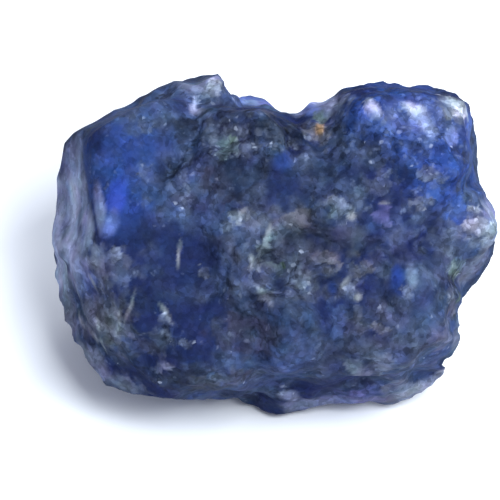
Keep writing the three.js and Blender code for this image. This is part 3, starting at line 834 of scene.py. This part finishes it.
def grown(tree, place, cloud, crushed):
    """The crystals of all sizes together: their shade, how crushed they are, the height of their
    tops in mm, and how bright the glints are that are painted on a few chips."""
    level, height, chips = 0, 0, 0
    shade = spread(tree, cloud, 0.32, 0.68, *CLOUD_SHADES)
    rare = spread(tree, crushed, 0, 1.5, 1.03, 0.8)  # a chip needs a chance above this
    for size, (share, differ, glint_paint) in CRYSTALS.items():
        chance, other, middle, top = crystals(tree, place, size)
        level = maths(tree, "MULTIPLY_ADD", maths(tree, "MULTIPLY", chance, middle), share, level)
        shade = maths(tree, "MULTIPLY", shade, spread(tree, other, 0, 1, 1 - differ, 1 + differ))
        height = maths(tree, "MULTIPLY_ADD", top, TILT, height)
        # a few chips get a painted glint, brighter on the finer crystals
        chip = maths(tree, "MULTIPLY", maths(tree, "GREATER_THAN", other, rare), middle)
        chips = maths(tree, "MULTIPLY_ADD", maths(tree, "MULTIPLY", chip, chance), glint_paint, chips)
    # The light clouds hold more crumbs, which stand out a little.
    level = maths(tree, "MULTIPLY", level, spread(tree, cloud, 0.35, 0.65, 0.35, 1.15))
    height = maths(tree, "MULTIPLY_ADD", maths(tree, "ADD", level, cloud), 0.02, height)
    grain = spread(tree, crushed, 0, 0.4, 0.3, 1)  # glassy places show less of the crystals
    shade = maths(tree, "MULTIPLY_ADD", maths(tree, "SUBTRACT", shade, 1), grain, 1)
    return shade, level, maths(tree, "MULTIPLY", height, grain), chips


def pale_crumbs(tree, place, level, crushed):
    """How pale the crushed crystals and the smears across them make the skin."""
    start = spread(tree, crushed, 0, 1, 0.9, -0.1)  # the level from which crystals turn pale
    pale = spread(tree, level, start, maths(tree, "ADD", start, 0.9), 0, 0.9)
    smear = spread(tree, noise(tree, place, 1.6, 3, 0.6), 0.42, 0.72, 0, 0.7)
    return maths(tree, "MULTIPLY_ADD", smear, maths(tree, "MINIMUM", crushed, 1), pale)


def coloured(tree, place, shade, pale, chips):
    """The stored tint with a drift of hue and the crystals' shades, pale crumbs and painted
    glints.
    """
    drift = noise(tree, place, 1.1, 1, output="Color")
    drift = vectors(tree, "MULTIPLY_ADD", drift, HUE_DRIFT, HUE_START)
    colour = scaled(tree, vectors(tree, "MULTIPLY", stored(tree, "tint", "Color"), drift), shade)
    colour = vectors(tree, "ADD", colour, scaled(tree, tuple(linear(CRUMB)), pale))
    return vectors(tree, "ADD", colour, scaled(tree, tuple(linear(PAINTED_GLINT)), chips))


def corundum():
    """Crushed and clear blue crystal, with its colour, clearness and crumbs as they are stored."""
    material = bpy.data.materials.new("corundum")
    material.use_nodes = True
    tree = material.node_tree
    crushed = stored(tree, "crushed")
    place = wobbly_place(tree)
    cloud = noise(tree, place, 1.5, 5, 0.65)
    shade, level, height, chips = grown(tree, place, cloud, crushed)
    pale = pale_crumbs(tree, place, level, crushed)
    rough = spread(tree, crushed, 0, 0.5, SATIN, DULL)
    bump = add(tree, "Bump", {"Strength": BUMP, "Distance": MM, "Height": height})
    looks = {
        "Base Color": coloured(tree, place, shade, pale, chips),
        "Transmission Weight": maths(tree, "SUBTRACT", stored(tree, "clear"), pale),
        "Roughness": maths(tree, "MULTIPLY_ADD", chips, -CHIP_GLOSS, rough),
        "Normal": bump.outputs["Normal"],
    }
    shader = tree.nodes["Principled BSDF"]
    shader.inputs["IOR"].default_value = IOR
    shader.inputs["Specular IOR Level"].default_value = SPECULAR
    for name, value in looks.items():
        tree.links.new(value, shader.inputs[name])
    absorb = add(tree, "VolumeAbsorption", ABSORPTION)
    tree.links.new(absorb.outputs["Volume"], tree.nodes["Material Output"].inputs["Volume"])
    return material


# ---------------------------------------------------------------- the studio


def area_light(name, place, size, power):
    """A square light that faces the stone."""
    data = bpy.data.lights.new(name, "AREA")
    data.size = size * MM
    data.energy = power
    data.color = LIGHT_COLOUR
    light = bpy.data.objects.new(name, data)
    bpy.context.scene.collection.objects.link(light)
    light.location = Vector(place) * MM
    light.rotation_euler = (LIGHT_TARGET - Vector(place)).to_track_quat("-Z", "Y").to_euler()


def paper():
    """The dull, nearly white material of the floor."""
    material = bpy.data.materials.new("paper")
    material.use_nodes = True
    shader = material.node_tree.nodes["Principled BSDF"]
    shader.inputs["Base Color"].default_value = PAPER_COLOUR
    shader.inputs["Roughness"].default_value = 0.9
    shader.inputs["Specular IOR Level"].default_value = 0.1
    return material


def sky():
    """Even light from all round."""
    world = bpy.data.worlds.new("world")
    world.use_nodes = True
    background = world.node_tree.nodes["Background"]
    background.inputs["Color"].default_value = SKY_COLOUR
    background.inputs["Strength"].default_value = SKY_STRENGTH
    return world


def studio():
    """A pale paper floor under soft light."""
    bpy.ops.mesh.primitive_plane_add(size=FLOOR)
    floor = bpy.context.object
    floor.name = "floor"
    floor.data.materials.append(paper())
    for name, (place, size, power) in LIGHTS.items():
        area_light(name, place, size, power)
    bpy.context.scene.world = sky()
    bpy.context.scene.view_settings.view_transform = "Standard"


def camera():
    """A camera that shows the stone as large, as high and as far to the side as the photo does."""
    data = bpy.data.cameras.new("camera")
    data.lens = LENS
    data.sensor_width = SENSOR
    eye = bpy.data.objects.new("camera", data)
    bpy.context.scene.collection.objects.link(eye)
    bpy.context.scene.camera = eye
    up = Vector((0, math.sin(VIEW_ELEVATION), math.cos(VIEW_ELEVATION)))
    back = Vector((0, -math.cos(VIEW_ELEVATION), math.sin(VIEW_ELEVATION)))
    right = Vector((1, 0, 0))
    off_x = (HEART_PIXEL[0] - FRAME_PIXELS / 2) * MM_PER_PIXEL
    off_y = (FRAME_PIXELS / 2 - HEART_PIXEL[1]) * MM_PER_PIXEL
    target = Vector(HEART) - right * off_x - up * off_y
    distance = FRAME_PIXELS * MM_PER_PIXEL * LENS / SENSOR
    eye.location = (target + back * distance) * MM
    eye.rotation_euler = back.to_track_quat("Z", "Y").to_euler()


main()
